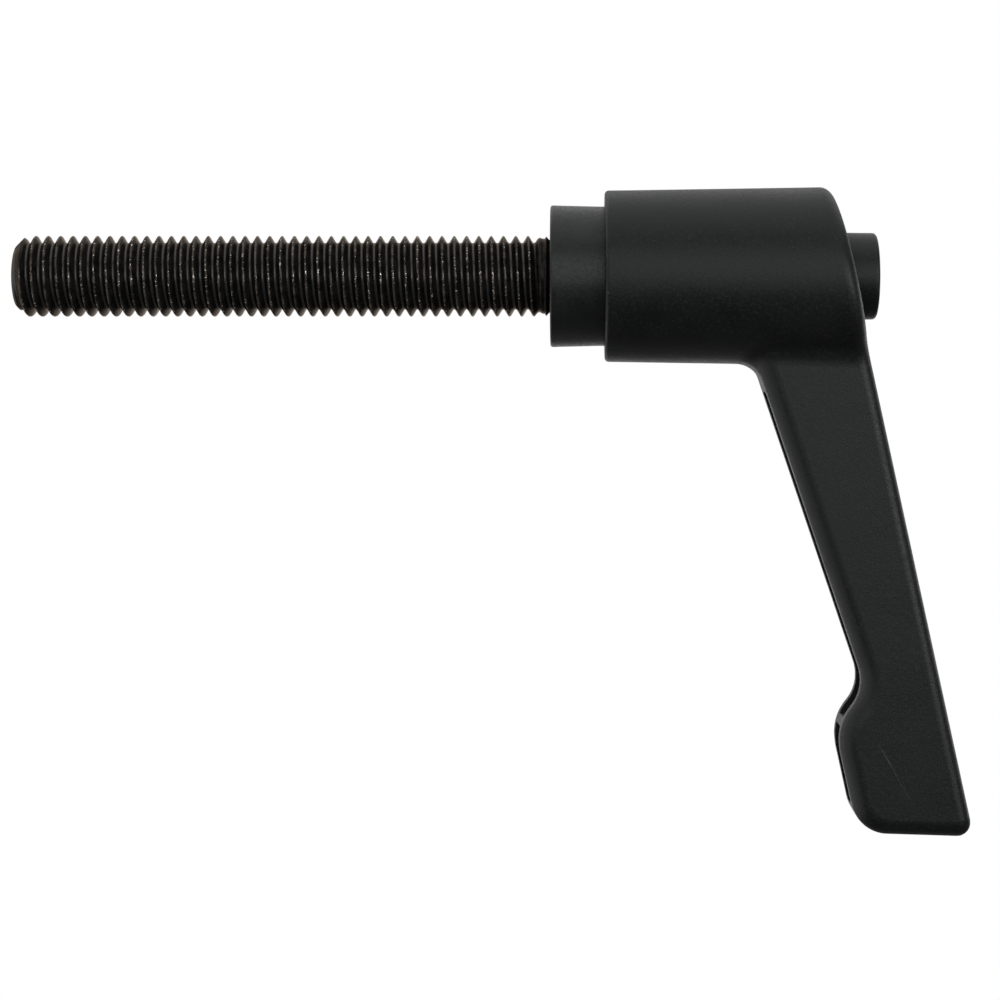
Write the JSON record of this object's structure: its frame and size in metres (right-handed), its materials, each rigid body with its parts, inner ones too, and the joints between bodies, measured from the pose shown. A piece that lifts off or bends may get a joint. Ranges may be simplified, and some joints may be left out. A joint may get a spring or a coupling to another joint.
{
  "type": "adjustable clamping lever",
  "caption": "Adjustable clamping lever: moulded handle with push button, indexing on a serrated steel insert with a threaded stud.",
  "frame": {"origin": "on the stud's axis, in the seating face of the insert's collar", "axes": "+Z along the stud's axis towards the push button; the stud points down; +X along the handle's arm"},
  "size_m": [0.0786, 0.0218, 0.1157],
  "materials": {
    "thread_steel": "black oxide, lightly oiled, slightly brown",
    "insert_steel": "matt black oxide",
    "screw_steel": "black oxide",
    "spring_steel": "bright drawn wire",
    "bush_zinc": "plain die-cast zinc",
    "button_nylon": "matt black glass-filled nylon",
    "handle_nylon": "matt black glass-filled nylon, fine grain"
  },
  "bodies": {
    "stem": {"stud": "thread_steel", "insert": "insert_steel", "washer": "screw_steel", "retaining_screw": "screw_steel"},
    "button": {"push_button": "button_nylon"},
    "lever": {"handle": "handle_nylon", "toothed_bush": "bush_zinc", "return_spring": "spring_steel"}
  },
  "joints": [
    {"name": "swivel", "type": "hinge", "parent": "stem", "child": "button", "pos_m": [0, 0, 0], "axis": [0, 0, 1], "continuous": true},
    {"name": "lift", "type": "slide", "parent": "button", "child": "lever", "axis": [0, 0, 1], "range_m": [0, 0.004], "stiffness_N_per_m": 1500, "springref_m": -0.006, "deforming": ["return_spring"]}
  ]
}
